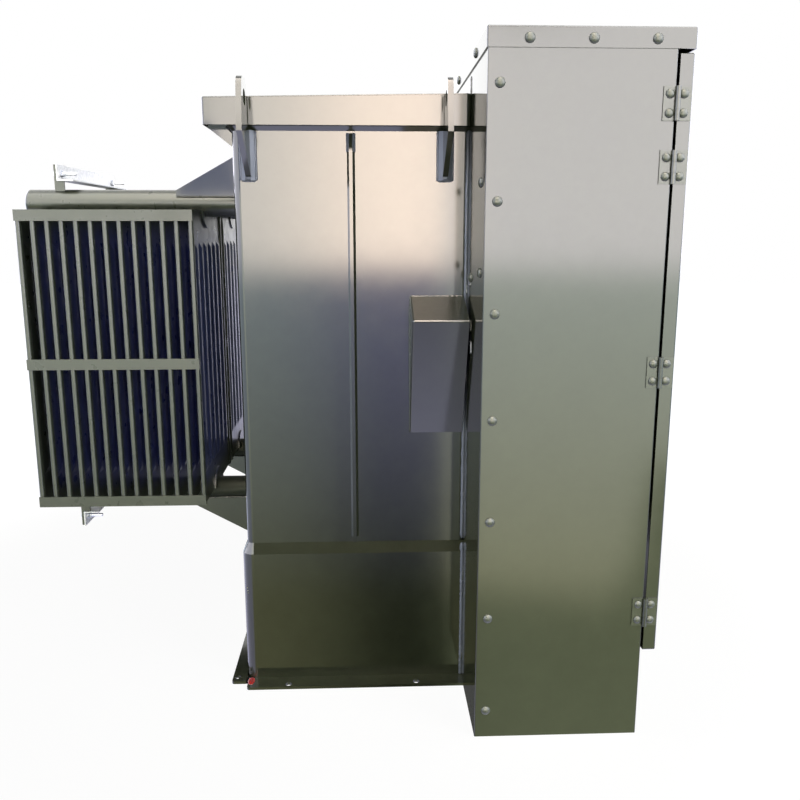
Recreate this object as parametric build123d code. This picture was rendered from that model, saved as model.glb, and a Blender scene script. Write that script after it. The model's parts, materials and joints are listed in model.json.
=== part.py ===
# Pad-mounted power transformer: an oil tank with two panel radiators behind it
# and a two-door terminal cabinet in front of it. Millimetres, +Z up.
# The doors face -Y and the radiators are at +Y. The origin is on the ground,
# under the centre of the overall box.
import os

from build123d import *

os.makedirs("parts", exist_ok=True)

# Terminal cabinet
cabinet_width = 1850
cabinet_height = 1750
cabinet_depth = 429
cabinet_sheet = 3
side_return = 40
roof_cap_depth = 470
roof_cap_flange = 46
sheet_bend_radius = 4
panel_edge_radius = 2.5
sill_height = 233

# Doors, each a pan with a return all round
door_bottom_gap = 6
door_top_gap = 8
door_front_reach = 468
door_to_panel_gap = 6
door_centre_gap = 6
door_sheet = 3

# Side hinges: two measured up from the door's foot and two down from its top
hinge_rises = (108, 731)
hinge_drops = (248, 109)
hinge_height = 75
hinge_leaf_width = 29
hinge_leaf_thickness = 3
hinge_barrel_radius = 6
hinge_pin_radius = 3
hinge_pin_clearance = 0.2
hinge_end_clearance = 0.5
hinge_leaf_clearance = 1

# Latch handle on the right door
handle_height = 970
handle_inset = 70
handle_plate_width = 60
handle_plate_height = 150
handle_plate_thickness = 4
handle_boss_radius = 14
handle_boss_length = 14
handle_lever_length = 130
handle_lever_width = 22
handle_lever_thickness = 8

# Front plate, between the cabinet and the tank
front_plate_thickness = 8
front_plate_flange = 57

# Tank
tank_width = 1216
tank_depth = 623
tank_wall = 8
tank_top_drop = 190
tank_front_radius = 12
tank_rear_radius = 20
tank_floor_thickness = 12
skirt_thickness = 14
skirt_height = 395
skirt_slope_height = 30
curb_width = 45
curb_thickness = 11
curb_flare = 11
curb_mouth_radius = 15

# Sloped tank cover
cover_side_overhang = 36
cover_rear_overhang = 66
cover_rear_height = 68
cover_front_height = 80
cover_sheet = 5
cover_rim_width = 60
cover_front_radius = 12
cover_rear_radius = 6
cover_bend_radius = 3
cover_gusset_thickness = 6
cover_gusset_inset = 2
cover_gusset_height = 50
cover_gusset_cope = 16

# Anchor strips round the tank's foot
strip_width = 54
strip_thickness = 8
strip_corner_radius = 8
side_strip_length = 630
rear_strip_width = 41
rear_strip_side_reach = 20
anchor_hole_radius = 9
anchor_hole_reach = 39
anchor_rear_from_plate = 510
anchor_front_from_plate = 137
rear_anchor_hole_reach = 26
rear_anchor_hole_inset = 5

# Lifting lugs, square to the side walls, with heights from the tank's upper edge
lug_rear_from_plate = 580
lug_front_from_plate = 63
lug_thickness = 14
lug_shoulder_reach = 150
lug_top_reach = 125
lug_cover_clearance = 10
lug_rise = 118
lug_corner_radius = 30
lug_shoulder_drop = 16
lug_foot_drop = 115
lug_toe_reach = 4
lug_eye_radius = 20
lug_eye_rise = 70
lug_pad_width = 36
lug_pad_thickness = 8
lug_pad_height = 126

# Flat bar up the middle of each side wall
stiffener_thickness = 9
stiffener_reach = 50
stiffener_from_skirt = 17
stiffener_top_drop = 5
stiffener_cut_height = 47

# Wedge-shaped box beside the cabinet, with heights from the tank's upper edge
side_box_from_plate = 8
side_box_length = 147
side_box_reach = 139
side_box_drop = 430
side_box_lip_drop = 52
side_box_height = 382
side_box_edge_radius = 5

# Radiators
radiator_width = 460
radiator_gap = 36
radiator_panel_count = 13
radiator_pitch = 39.8
radiator_from_plate = 766
panel_bottom = 498
panel_top_drop = 197
panel_core = 5
panel_thickness = 14
panel_edge_bead = 18
panel_edge_radius_share = 0.4
panel_seam_width = 2
panel_seam_depth = 3
flute_count = 6
flute_flat = 12
flute_end_distance = 92
flute_end_run = 16
collector_radius = 74
header_radius = 40
header_seat_clearance = 0.3
top_header_outset = 24
bottom_header_outset = 21
header_end_from_plate = 1294
header_end_rounding = 10
edge_bar_height = 31
edge_bar_thickness = 4
middle_bar_height = 927

# Triangular plates beside the header pipes
gusset_thickness = 6
gusset_length = 220
gusset_height = 138
gusset_nose = 16
gusset_rise = 21

# Angles that tie the two radiators together
tie_leg = 48
tie_thickness = 4
tie_bracket_from_plate = 1200
tie_bracket_thickness = 10
tie_bracket_width = 50
tie_bracket_height = 72
tie_bracket_sink = 6
tie_rib_reach = 18
tie_rib_thickness = 8
tie_rib_clearance = 0.3
tie_end_reach = 34
tie_from_header = 24

# Inside the cabinet, with heights from the cabinet's top
barrier_from_sill = 17
barrier_top_drop = 110
barrier_reach = 405
barrier_thickness = 3
bushing_pitch = 210
hv_row_drops = (740, 460)
hv_centre_from_middle = 500
hv_flange_radius = 52
hv_flange_thickness = 12
hv_body_radius = 36
hv_tip_radius = 25
hv_reach = 130
lv_count = 4
lv_row_drop = 600
lv_centre_from_middle = 490
lv_pitch = 190
lv_flange_radius = 48
lv_flange_thickness = 14
lv_stem_radius = 24
lv_stem_length = 60
spade_width = 90
spade_length = 110
spade_thickness = 16
spade_hole_spacing = 44.5
spade_hole_radius = 7
spade_hole_inset = 22
gauge_radius = 48
gauge_depth = 32
gauge_stem_radius = 16
gauge_stem_length = 18
gauge_drop = 300
level_gauge_from_middle = 300
thermometer_from_middle = 460
valve_from_middle = 700
valve_height = 160
valve_pipe_radius = 17
valve_body_radius = 27
valve_reach = 90
valve_body_length = 46
valve_wheel_radius = 32
valve_wheel_thickness = 10
valve_stem_radius = 7
valve_stem_length = 34

# One overrun for every through cut
overrun = 10

# Heights
door_bottom = sill_height + door_bottom_gap
door_top = cabinet_height - roof_cap_flange - door_top_gap
hinge_heights = ([door_bottom + rise for rise in hinge_rises]
                 + [door_top - drop for drop in hinge_drops])
tank_height = cabinet_height - tank_top_drop
cover_bottom = tank_height + curb_thickness
lug_bottom = tank_height - lug_pad_height
panel_top = tank_height - panel_top_drop
top_header_height = panel_top + top_header_outset
bottom_header_height = panel_bottom - bottom_header_outset
lv_row_height = cabinet_height - lv_row_drop
gauge_height = cabinet_height - gauge_drop

# Planes along Y, from the overall depth. The rear face of the front plate is the datum
front_reach = (door_front_reach + handle_plate_thickness + handle_boss_length
               + handle_lever_thickness)
plate_y = (front_reach - header_end_from_plate) / 2
plate_front_y = plate_y - front_plate_thickness
tank_rear_y = plate_y + tank_depth
panel_front_y = plate_y - cabinet_depth
door_front_y = plate_y - door_front_reach
door_back_y = panel_front_y - door_to_panel_gap
half_cabinet = cabinet_width / 2
half_tank = tank_width / 2
hinge_x = half_cabinet + hinge_barrel_radius
hinge_y = (panel_front_y + door_back_y) / 2
radiator_x = (radiator_gap + radiator_width) / 2


def block(x_range, y_range, z_range):
    """A box between two places along each axis."""
    (x0, x1), (y0, y1), (z0, z1) = sorted(x_range), sorted(y_range), sorted(z_range)
    return Pos((x0 + x1) / 2, (y0 + y1) / 2, (z0 + z1) / 2) * Box(x1 - x0, y1 - y0, z1 - z0)


def prism_along_x(points, x0, x1):
    """A (y, z) outline carried from x0 to x1."""
    outline = Polyline(*[(x0, y, z) for y, z in points], close=True)
    return extrude(make_face(outline), amount=x1 - x0, dir=(1, 0, 0))


def prism_along_y(points, y0, y1):
    """An (x, z) outline carried from y0 to y1."""
    outline = Polyline(*[(x, y0, z) for x, z in points], close=True)
    return extrude(make_face(outline), amount=y1 - y0, dir=(0, 1, 0))


def round_bar_y(x, z, radius, y0, y1):
    """A round bar along Y."""
    return Pos(x, (y0 + y1) / 2, z) * Rot(90, 0, 0) * Cylinder(radius, y1 - y0)


def round_bar_z(x, y, radius, z0, z1):
    """A round bar along Z."""
    return Pos(x, y, (z0 + z1) / 2) * Cylinder(radius, z1 - z0)


def mirrored(solids):
    """The same solids on the right-hand side."""
    return [mirror(solid, about=Plane.YZ) for solid in solids]


def save(node, solids):
    """Write one node, with each of its pieces as its own solid."""
    pieces = [piece for solid in solids for piece in solid.solids()]
    export_step(Compound(children=pieces), os.path.join("parts", node + ".step"))


def tank_plan(reach, front_radius, rear_radius):
    """The tank's plan, grown by reach, with its front and rear corners rounded."""
    middle = (plate_y + tank_rear_y) / 2
    outline = Pos(0, middle) * Rectangle(tank_width + 2 * reach, tank_depth + 2 * reach)
    outline = fillet(outline.vertices().group_by(Axis.Y)[0], front_radius)
    return fillet(outline.vertices().group_by(Axis.Y)[-1], rear_radius)


def wall_plan(reach):
    """The plan of the tank's bent walls, grown by reach."""
    return tank_plan(reach, tank_front_radius + reach, tank_rear_radius + reach)


def skirt_plan(reach, y_front):
    """The plan of the band round the foot: square to the front plate, rounded behind."""
    y_rear = tank_rear_y + reach
    outline = Pos(0, (y_front + y_rear) / 2) * Rectangle(tank_width + 2 * reach,
                                                         y_rear - y_front)
    return fillet(outline.vertices().group_by(Axis.Y)[-1], tank_rear_radius + reach)


def tank_shell():
    """The tank's four walls, bent round its corners."""
    plan = wall_plan(0) - wall_plan(-tank_wall)
    wall_height = tank_height - tank_floor_thickness
    return Pos(0, 0, tank_floor_thickness) * extrude(plan, amount=wall_height)


def tank_floor():
    return extrude(wall_plan(0), amount=tank_floor_thickness)


def tank_skirt():
    """The thicker band round the foot, whose upper edge slopes back to the wall."""
    outer = extrude(skirt_plan(skirt_thickness, plate_y), amount=skirt_height)
    slope = loft([
        Pos(0, 0, skirt_height) * skirt_plan(skirt_thickness, plate_y),
        Pos(0, 0, skirt_height + skirt_slope_height) * skirt_plan(0, plate_y),
    ])
    hollow = extrude(skirt_plan(0, plate_y - overrun),
                     amount=skirt_height + skirt_slope_height + overrun)
    return outer + slope - hollow


def tank_curb():
    """The rim that the cover is bolted to, flared out from the walls under the cover."""
    rim = loft([Pos(0, 0, tank_height) * wall_plan(0),
                Pos(0, 0, cover_bottom) * wall_plan(curb_flare)])
    reach = half_tank + curb_flare + overrun
    before_plate = block((-reach, reach), (plate_y - curb_flare - overrun, plate_y),
                         (tank_height - overrun, cover_bottom + overrun))
    mouth = extrude(tank_plan(-curb_width, curb_mouth_radius, curb_mouth_radius),
                    amount=cover_bottom + overrun)
    return rim - before_plate - mouth


def round_uprights(solid, front_radius, rear_radius):
    """Round a box's upright edges, with one radius in front and another behind."""
    front = solid.edges().filter_by(Axis.Z).group_by(Axis.Y)[0]
    solid = fillet(front, front_radius)
    rear = solid.edges().filter_by(Axis.Z).group_by(Axis.Y)[-1]
    return fillet(rear, rear_radius)


def tank_cover():
    """A shallow lid whose top rises towards the cabinet, with a rim turned in below."""
    half = half_tank + cover_side_overhang
    rear = tank_rear_y + cover_rear_overhang
    top_rear, top_front = cover_bottom + cover_rear_height, cover_bottom + cover_front_height
    lid = prism_along_x([(plate_y, cover_bottom), (rear, cover_bottom), (rear, top_rear),
                         (plate_y, top_front)], -half, half)
    lid = round_uprights(lid, cover_front_radius, cover_rear_radius)
    lid = fillet(lid.faces().sort_by(Axis.Z)[-1].edges(), cover_bend_radius)
    inside = half - cover_sheet
    hollow = prism_along_x([(plate_y + cover_sheet, cover_bottom + cover_sheet),
                            (rear - cover_sheet, cover_bottom + cover_sheet),
                            (rear - cover_sheet, top_rear - cover_sheet),
                            (plate_y + cover_sheet, top_front - cover_sheet)],
                           -inside, inside)
    hollow = round_uprights(hollow, cover_front_radius - cover_sheet,
                            cover_rear_radius - cover_sheet)
    rim_inside = half - cover_rim_width
    mouth = block((-rim_inside, rim_inside),
                  (plate_y + cover_rim_width, rear - cover_rim_width),
                  (cover_bottom - overrun, cover_bottom + cover_sheet))
    return lid - hollow - mouth


def cover_gusset():
    """A plate under the left end of the cover's rear overhang, its inner corner cut off."""
    x = -half_tank + tank_rear_radius
    rear = tank_rear_y + cover_rear_overhang - cover_gusset_inset
    return prism_along_x([(tank_rear_y, cover_bottom - cover_gusset_height),
                          (rear, cover_bottom),
                          (tank_rear_y + cover_gusset_cope, cover_bottom),
                          (tank_rear_y, cover_bottom - cover_gusset_cope)],
                         x, x + cover_gusset_thickness)


def front_plate():
    """The plate that closes the tank, with its side edges turned forward for the cabinet."""
    half = half_cabinet - cabinet_sheet
    top = cabinet_height - cabinet_sheet
    plate = block((-half, half), (plate_front_y, plate_y), (0, top))
    flange_y = (plate_y - front_plate_flange, plate_front_y)
    flanges = [block((side * half, side * (half - cabinet_sheet)), flange_y, (0, top))
               for side in (-1, 1)]
    return plate + flanges


def anchor_holes(centres):
    """Round holes through an anchor strip."""
    return [round_bar_z(x, y, anchor_hole_radius, -overrun, strip_thickness + overrun)
            for x, y in centres]


def side_strip():
    """The left anchor strip."""
    inner = -half_tank - skirt_thickness
    strip = block((inner - strip_width, inner),
                  (plate_y, plate_y + side_strip_length), (0, strip_thickness))
    outer_corner = strip.edges().filter_by(Axis.Z).group_by(Axis.Y)[-1].sort_by(Axis.X)[0]
    strip = fillet(outer_corner, strip_corner_radius)
    x = inner - anchor_hole_reach
    return strip - anchor_holes([(x, plate_y + anchor_front_from_plate),
                                 (x, plate_y + anchor_rear_from_plate)])


def rear_strip():
    """The rear anchor strip, a little wider than the tank."""
    half = half_tank + skirt_thickness + rear_strip_side_reach
    front = tank_rear_y + skirt_thickness
    strip = block((-half, half), (front, front + rear_strip_width), (0, strip_thickness))
    strip = fillet(strip.edges().filter_by(Axis.Z).group_by(Axis.Y)[-1], strip_corner_radius)
    x = half - rear_strip_side_reach - rear_anchor_hole_inset
    y = front + rear_anchor_hole_reach
    return strip - anchor_holes([(-x, y), (x, y)])


def lug_pad(from_plate):
    """A doubling plate welded to the left wall under a lug."""
    y = plate_y + from_plate
    return block((-half_tank - lug_pad_thickness, -half_tank),
                 (y - lug_pad_width / 2, y + lug_pad_width / 2), (lug_bottom, tank_height))


def lifting_lug(from_plate):
    """A plate that leaves the left wall's pad and stands up clear of the cover's edge."""
    root = -half_tank - lug_pad_thickness
    shoulder_x, tip = -half_tank - lug_shoulder_reach, -half_tank - lug_top_reach
    neck = -half_tank - cover_side_overhang - lug_cover_clearance
    foot, shoulder = tank_height - lug_foot_drop, tank_height - lug_shoulder_drop
    top = tank_height + lug_rise
    y = plate_y + from_plate - lug_thickness / 2
    plate = prism_along_y([(root, foot), (root - lug_toe_reach, foot), (shoulder_x, shoulder),
                           (tip, top), (neck, top), (neck, tank_height),
                           (root, tank_height)], y, y + lug_thickness)
    top_corners = plate.edges().filter_by(Axis.Y).group_by(Axis.Z)[-1]
    plate = fillet(top_corners, lug_corner_radius)
    return plate - round_bar_y((tip + neck) / 2, tank_height + lug_eye_rise, lug_eye_radius,
                               y - overrun, y + lug_thickness + overrun)


def stiffener():
    """A flat bar on edge, cut off at a slant at its top, on the left wall."""
    y = plate_y + tank_depth / 2 - stiffener_thickness / 2
    outer = -half_tank - stiffener_reach
    bottom = skirt_height + skirt_slope_height + stiffener_from_skirt
    top = tank_height - stiffener_top_drop
    return prism_along_y([(-half_tank, bottom), (outer, bottom),
                          (outer, top - stiffener_cut_height), (-half_tank, top)],
                         y, y + stiffener_thickness)


def side_box():
    """A wedge-shaped folded box on the left wall, with rounded outer edges."""
    outer = -half_tank - side_box_reach
    top = tank_height - side_box_drop
    front = plate_y + side_box_from_plate
    box = prism_along_y([(-half_tank, top - side_box_height), (outer, top - side_box_lip_drop),
                         (-half_tank, top)], front, front + side_box_length)
    lip = box.edges().filter_by(Axis.Y).sort_by(Axis.X)[0]
    box = fillet(lip, side_box_edge_radius)
    rear_edges = box.faces().sort_by(Axis.Y)[-1].edges()
    on_wall = rear_edges.filter_by(Axis.Z)
    return fillet(rear_edges - on_wall, side_box_edge_radius)


def side_panel():
    """The left cabinet side, with its front edge turned inward and its corners eased."""
    outer = -half_cabinet
    top = cabinet_height - cabinet_sheet
    wall = block((outer, outer + cabinet_sheet), (panel_front_y, plate_y), (0, top))
    corners = wall.edges().filter_by(Axis.Z).group_by(Axis.X)[0]
    wall = fillet(corners, panel_edge_radius)
    turned_edge = block((outer + cabinet_sheet, outer + side_return),
                        (panel_front_y, panel_front_y + cabinet_sheet), (sill_height, top))
    return wall + turned_edge


def roof_cap():
    """The roof sheet with a flange down all four sides, bent round its edges."""
    half = half_cabinet + cabinet_sheet
    rear = plate_y + cabinet_sheet
    front = plate_y - roof_cap_depth
    bottom = cabinet_height - roof_cap_flange
    shell = block((-half, half), (front, rear), (bottom, cabinet_height))
    shell = round_uprights(shell, sheet_bend_radius, sheet_bend_radius)
    shell = fillet(shell.faces().sort_by(Axis.Z)[-1].edges(), sheet_bend_radius)
    inside = half - cabinet_sheet
    hollow = block((-inside, inside), (front + cabinet_sheet, rear - cabinet_sheet),
                   (bottom - overrun, cabinet_height - cabinet_sheet))
    return shell - hollow


def front_sill():
    """The fixed panel under the doors, with its top edge turned inward."""
    half = half_cabinet - cabinet_sheet
    front = panel_front_y
    wall = block((-half, half), (front, front + cabinet_sheet), (0, sill_height))
    turned_edge = block((-half, half), (front, front + side_return),
                        (sill_height - cabinet_sheet, sill_height))
    return wall + turned_edge


def compartment_barrier():
    """The sheet that parts the high and low voltage compartments."""
    return block((-barrier_thickness / 2, barrier_thickness / 2),
                 (plate_y - barrier_reach, plate_front_y),
                 (sill_height + barrier_from_sill, cabinet_height - barrier_top_drop))


def door():
    """The left door: a pan with its edges bent back all round."""
    x_range = (-half_cabinet, -door_centre_gap / 2)
    depth = door_back_y - door_front_y
    pan = block(x_range, (door_front_y, door_back_y), (door_bottom, door_top))
    pan = fillet(pan.edges().filter_by(Axis.Y), sheet_bend_radius)
    pan = fillet(pan.faces().sort_by(Axis.Y)[0].edges(), sheet_bend_radius)
    hollow = block((x_range[0] + door_sheet, x_range[1] - door_sheet),
                   (door_front_y + door_sheet, door_front_y + depth + overrun),
                   (door_bottom + door_sheet, door_top - door_sheet))
    return pan - hollow


def hinge_levels(height):
    """Heights where a hinge's barrel changes between frame and door."""
    third = hinge_height / 3
    return [height - hinge_height / 2 + step * third for step in range(4)]


def hinge_frame_leaf(height):
    """The leaf on the left side panel, with the pin and the outer two barrel lengths."""
    bottom, lower, upper, top = hinge_levels(height)
    outer = -half_cabinet - hinge_leaf_thickness
    near = hinge_y + hinge_barrel_radius + hinge_leaf_clearance
    leaf = block((outer, -half_cabinet), (near, panel_front_y + hinge_leaf_width),
                 (bottom, top))
    necks = [block((outer, -half_cabinet), (hinge_y, near), span)
             for span in ((bottom, lower), (upper, top))]
    barrels = [round_bar_z(-hinge_x, hinge_y, hinge_barrel_radius, *span)
               for span in ((bottom, lower), (upper, top))]
    pin = round_bar_z(-hinge_x, hinge_y, hinge_pin_radius, bottom, top)
    return leaf + necks + barrels + pin


def hinge_door_leaf(height):
    """The leaf on the left door's return, with the middle barrel length."""
    bottom, lower, upper, top = hinge_levels(height)
    outer = -half_cabinet - hinge_leaf_thickness
    span = (lower + hinge_end_clearance, upper - hinge_end_clearance)
    near = hinge_y - hinge_barrel_radius - hinge_leaf_clearance
    leaf = block((outer, -half_cabinet), (door_back_y - hinge_leaf_width, near), (bottom, top))
    neck = block((outer, -half_cabinet), (near, hinge_y), span)
    barrel = round_bar_z(-hinge_x, hinge_y, hinge_barrel_radius, *span)
    bore = round_bar_z(-hinge_x, hinge_y, hinge_pin_radius + hinge_pin_clearance, bottom, top)
    return leaf + neck + barrel - bore


def door_handle():
    """The latch on the right door: plate, boss and a lever hanging down."""
    x = handle_inset
    half_width = handle_plate_width / 2
    half_height = handle_plate_height / 2
    plate_front = door_front_y - handle_plate_thickness
    boss_front = plate_front - handle_boss_length
    plate = block((x - half_width, x + half_width), (plate_front, door_front_y),
                  (handle_height - half_height, handle_height + half_height))
    boss = round_bar_y(x, handle_height, handle_boss_radius, boss_front, plate_front)
    half_lever = handle_lever_width / 2
    lever = block((x - half_lever, x + half_lever),
                  (boss_front - handle_lever_thickness, boss_front),
                  (handle_height - handle_lever_length, handle_height + half_lever))
    return plate + boss + lever


def bushing_profile(x, z, steps):
    """Round steps, each (radius, length), that stand out of the front plate in turn."""
    y = plate_front_y
    bushing = None
    for radius, length in steps:
        step = round_bar_y(x, z, radius, y - length, y)
        bushing = step if bushing is None else bushing + step
        y -= length
    return bushing


def hv_bushing(x, z):
    """A capped high-voltage bushing: a flange and a tapered body."""
    flange_face = plate_front_y - hv_flange_thickness
    flange = round_bar_y(x, z, hv_flange_radius, flange_face, plate_front_y)
    cone_length = hv_reach - hv_flange_thickness
    cone = Pos(x, flange_face - cone_length / 2, z) * Rot(90, 0, 0) * \
        Cone(hv_body_radius, hv_tip_radius, cone_length)
    return flange + cone


def hv_bushings():
    """Two rows of three, in the left compartment."""
    return [hv_bushing(-hv_centre_from_middle + column * bushing_pitch, cabinet_height - drop)
            for drop in hv_row_drops for column in (-1, 0, 1)]


def lv_bushing(x):
    """A low-voltage bushing with a drilled flat terminal."""
    body = bushing_profile(x, lv_row_height, [(lv_flange_radius, lv_flange_thickness),
                                              (lv_stem_radius, lv_stem_length)])
    back = plate_front_y - lv_flange_thickness - lv_stem_length
    front = back - spade_length
    spade = block((x - spade_thickness / 2, x + spade_thickness / 2), (front, back),
                  (lv_row_height - spade_width / 2, lv_row_height + spade_width / 2))
    holes = [Pos(x, front + spade_hole_inset + across, lv_row_height + up) * Rot(0, 90, 0)
             * Cylinder(spade_hole_radius, spade_thickness + overrun)
             for across in (0, spade_hole_spacing)
             for up in (-spade_hole_spacing / 2, spade_hole_spacing / 2)]
    return body + spade - holes


def lv_bushings():
    """A row in the right compartment."""
    first = lv_centre_from_middle - lv_pitch * (lv_count - 1) / 2
    return [lv_bushing(first + lv_pitch * place) for place in range(lv_count)]


def round_gauge(from_middle):
    """A round dial gauge on a short stem."""
    return bushing_profile(from_middle, gauge_height, [(gauge_stem_radius, gauge_stem_length),
                                                       (gauge_radius, gauge_depth)])


def drain_valve():
    """A pipe stub with a valve body and a hand wheel on top."""
    x, z = valve_from_middle, valve_height
    y = plate_front_y - valve_reach
    stub = round_bar_y(x, z, valve_pipe_radius, y, plate_front_y)
    body = round_bar_y(x, z, valve_body_radius, y - valve_body_length, y)
    middle_y = y - valve_body_length / 2
    stem_top = z + valve_body_radius + valve_stem_length
    stem = round_bar_z(x, middle_y, valve_stem_radius, z, stem_top)
    wheel = round_bar_z(x, middle_y, valve_wheel_radius, stem_top,
                        stem_top + valve_wheel_thickness)
    return stub + body + stem + wheel


def flute_section():
    """A panel's plan section: two sheets that swell apart in flutes, and edge beads."""
    section = Rectangle(radiator_width, panel_core)
    inner_width = radiator_width - 2 * panel_edge_bead
    pitch = inner_width / flute_count
    half_flute = (pitch - flute_flat) / 2
    for place in range(flute_count):
        x = (place + 0.5) * pitch - inner_width / 2
        swell = panel_thickness / 2
        near = ThreePointArc((x - half_flute, 0), (x, -swell), (x + half_flute, 0))
        far = ThreePointArc((x + half_flute, 0), (x, swell), (x - half_flute, 0))
        section += make_face(near + far)
    return section


def edge_bead_section():
    """The plan section of a panel's rounded edge, with the seam of its two sheets outside."""
    bead = RectangleRounded(panel_edge_bead, panel_thickness,
                            panel_edge_radius_share * panel_thickness)
    seam_x = (panel_edge_bead - panel_seam_depth) / 2
    seam = Rectangle(panel_seam_depth, panel_seam_width)
    return bead - [Pos(side * seam_x, 0) * seam for side in (-1, 1)]


def panel_envelope():
    """Side view of a panel: full thickness over the flutes, thin beyond their ends."""
    core, full = panel_core / 2, panel_thickness / 2
    low, high = panel_bottom + flute_end_distance, panel_top - flute_end_distance
    side = [(core, panel_bottom), (core, low), (full, low + flute_end_run),
            (full, high - flute_end_run), (core, high), (core, panel_top)]
    other_side = [(-y, z) for y, z in reversed(side)]
    return prism_along_x(side + other_side, -radiator_width / 2, radiator_width / 2)


def radiator_panel():
    """One pressed panel, centred on the radiator, with its collector and header seats."""
    height = panel_top - panel_bottom
    fluted = Pos(0, 0, panel_bottom) * extrude(flute_section(), amount=height)
    panel = fluted & panel_envelope()
    bead_x = (radiator_width - panel_edge_bead) / 2
    bead = extrude(edge_bead_section(), amount=height)
    panel += [Pos(side * bead_x, 0, panel_bottom) * bead for side in (-1, 1)]
    half = panel_thickness / 2
    body = block((-radiator_width / 2, radiator_width / 2), (-half, half),
                 (panel_bottom, panel_top))
    for z in (bottom_header_height, top_header_height):
        panel += round_bar_y(0, z, collector_radius, -half, half) & body
    seat = header_radius + header_seat_clearance
    for z in (bottom_header_height, top_header_height):
        panel -= round_bar_y(0, z, seat, -half - overrun, half + overrun)
    return panel


def radiator_panels():
    """The left radiator's row of panels."""
    panel = radiator_panel()
    first = plate_y + radiator_from_plate
    return [Pos(-radiator_x, first + place * radiator_pitch, 0) * panel
            for place in range(radiator_panel_count)]


def header_pipe(height):
    """A left header, from the tank's rear wall to its rounded outer end."""
    end = plate_y + header_end_from_plate
    pipe = round_bar_y(-radiator_x, height, header_radius, tank_rear_y, end)
    outer_edge = pipe.edges().filter_by(GeomType.CIRCLE).group_by(Axis.Y)[-1]
    return fillet(outer_edge, header_end_rounding)


def edge_bars():
    """Flat bars across both edges of the left radiator's panels, at three heights."""
    half = panel_thickness / 2
    first = plate_y + radiator_from_plate - half
    last = first + panel_thickness + radiator_pitch * (radiator_panel_count - 1)
    levels = (panel_bottom, middle_bar_height - edge_bar_height / 2,
              panel_top - edge_bar_height)
    outer = -radiator_x - radiator_width / 2
    inner = -radiator_x + radiator_width / 2
    return [block(x_range, (first, last), (z, z + edge_bar_height)) for z in levels
            for x_range in ((outer - edge_bar_thickness, outer),
                            (inner, inner + edge_bar_thickness))]


def header_gussets():
    """Triangular plates on both sides of each left header, cut to the rear wall and skirt."""
    beside = (header_radius ** 2 - gusset_rise ** 2) ** 0.5
    skirt = tank_skirt()
    plates = []
    for height, up in ((top_header_height, 1), (bottom_header_height, -1)):
        edge = height + up * gusset_rise
        outline = [(tank_rear_y, edge), (tank_rear_y + gusset_length, edge),
                   (tank_rear_y + gusset_length, edge + up * gusset_nose),
                   (tank_rear_y, edge + up * gusset_height)]
        for side in (-1, 1):
            x = -radiator_x + side * beside
            plate = prism_along_x(outline, x, x + side * gusset_thickness)
            plates.append(plate - skirt)
    return plates


def tie_bracket(height, up):
    """The plate on the left header that a tie angle is bolted to, with a rib below the angle."""
    y = plate_y + tie_bracket_from_plate - tie_bracket_thickness / 2
    root = height + up * (header_radius - tie_bracket_sink)
    tip = height + up * (header_radius + tie_bracket_height)
    rib_tip = height + up * (header_radius + tie_from_header - tie_rib_clearance)
    left, right = -radiator_x - tie_bracket_width / 2, -radiator_x + tie_bracket_width / 2
    plate = block((left, right), (y, y + tie_bracket_thickness), (root, tip))
    rib = block((left, left + tie_rib_thickness), (y - tie_rib_reach, y), (height, rib_tip))
    seat = round_bar_y(-radiator_x, height, header_radius, y - tie_rib_reach - overrun,
                       y + tie_bracket_thickness + overrun)
    below = block((left, right), (y - tie_rib_reach, y), (height - up * header_radius, root))
    return plate + rib - seat - below


def tie_angle(height, up):
    """An angle across both radiators, with one leg against the brackets."""
    y = plate_y + tie_bracket_from_plate - tie_bracket_thickness / 2
    near = height + up * (header_radius + tie_from_header)
    far = near + up * tie_leg
    inner = near + up * tie_thickness
    reach = radiator_x + tie_end_reach
    return prism_along_x([(y, near), (y - tie_leg, near), (y - tie_leg, inner),
                          (y - tie_thickness, inner), (y - tie_thickness, far), (y, far)],
                         -reach, reach)


pieces_on_axis = {
    "tank_shell": tank_shell(),
    "tank_floor": tank_floor(),
    "tank_skirt": tank_skirt(),
    "tank_curb": tank_curb(),
    "tank_cover": tank_cover(),
    "front_plate": front_plate(),
    "rear_base_strip": rear_strip(),
    "roof_cap": roof_cap(),
    "front_sill": front_sill(),
    "compartment_barrier": compartment_barrier(),
    "door_handle": door_handle(),
    "oil_level_gauge": round_gauge(level_gauge_from_middle),
    "oil_thermometer": round_gauge(thermometer_from_middle),
    "drain_valve": drain_valve(),
    "top_tie_angle": tie_angle(top_header_height, 1),
    "bottom_tie_angle": tie_angle(bottom_header_height, -1),
}

pieces_per_side = {
    "base_strip": [side_strip()],
    "lifting_lugs": [lifting_lug(lug_rear_from_plate), lifting_lug(lug_front_from_plate)],
    "side_stiffener": [stiffener()],
    "side_box": [side_box()],
    "side_panel": [side_panel()],
    "hinge_frame_leaves": [hinge_frame_leaf(height) for height in hinge_heights],
    "door": [door()],
    "hinge_door_leaves": [hinge_door_leaf(height) for height in hinge_heights],
    "radiator_panels": radiator_panels(),
    "top_header": [header_pipe(top_header_height)],
    "bottom_header": [header_pipe(bottom_header_height)],
    "radiator_bars": edge_bars(),
}

pieces_on_both_sides = {
    "lug_pads": [lug_pad(lug_rear_from_plate), lug_pad(lug_front_from_plate)],
    "header_gussets": header_gussets() + [cover_gusset()],
    "tie_brackets": [tie_bracket(top_header_height, 1), tie_bracket(bottom_header_height, -1)],
}

for node, solid in pieces_on_axis.items():
    save(node, [solid])

for node, solids in pieces_per_side.items():
    save("left_" + node, solids)
    save("right_" + node, mirrored(solids))

for node, solids in pieces_on_both_sides.items():
    save(node, solids + mirrored(solids))

save("hv_bushings", hv_bushings())
save("lv_bushings", lv_bushings())
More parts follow.
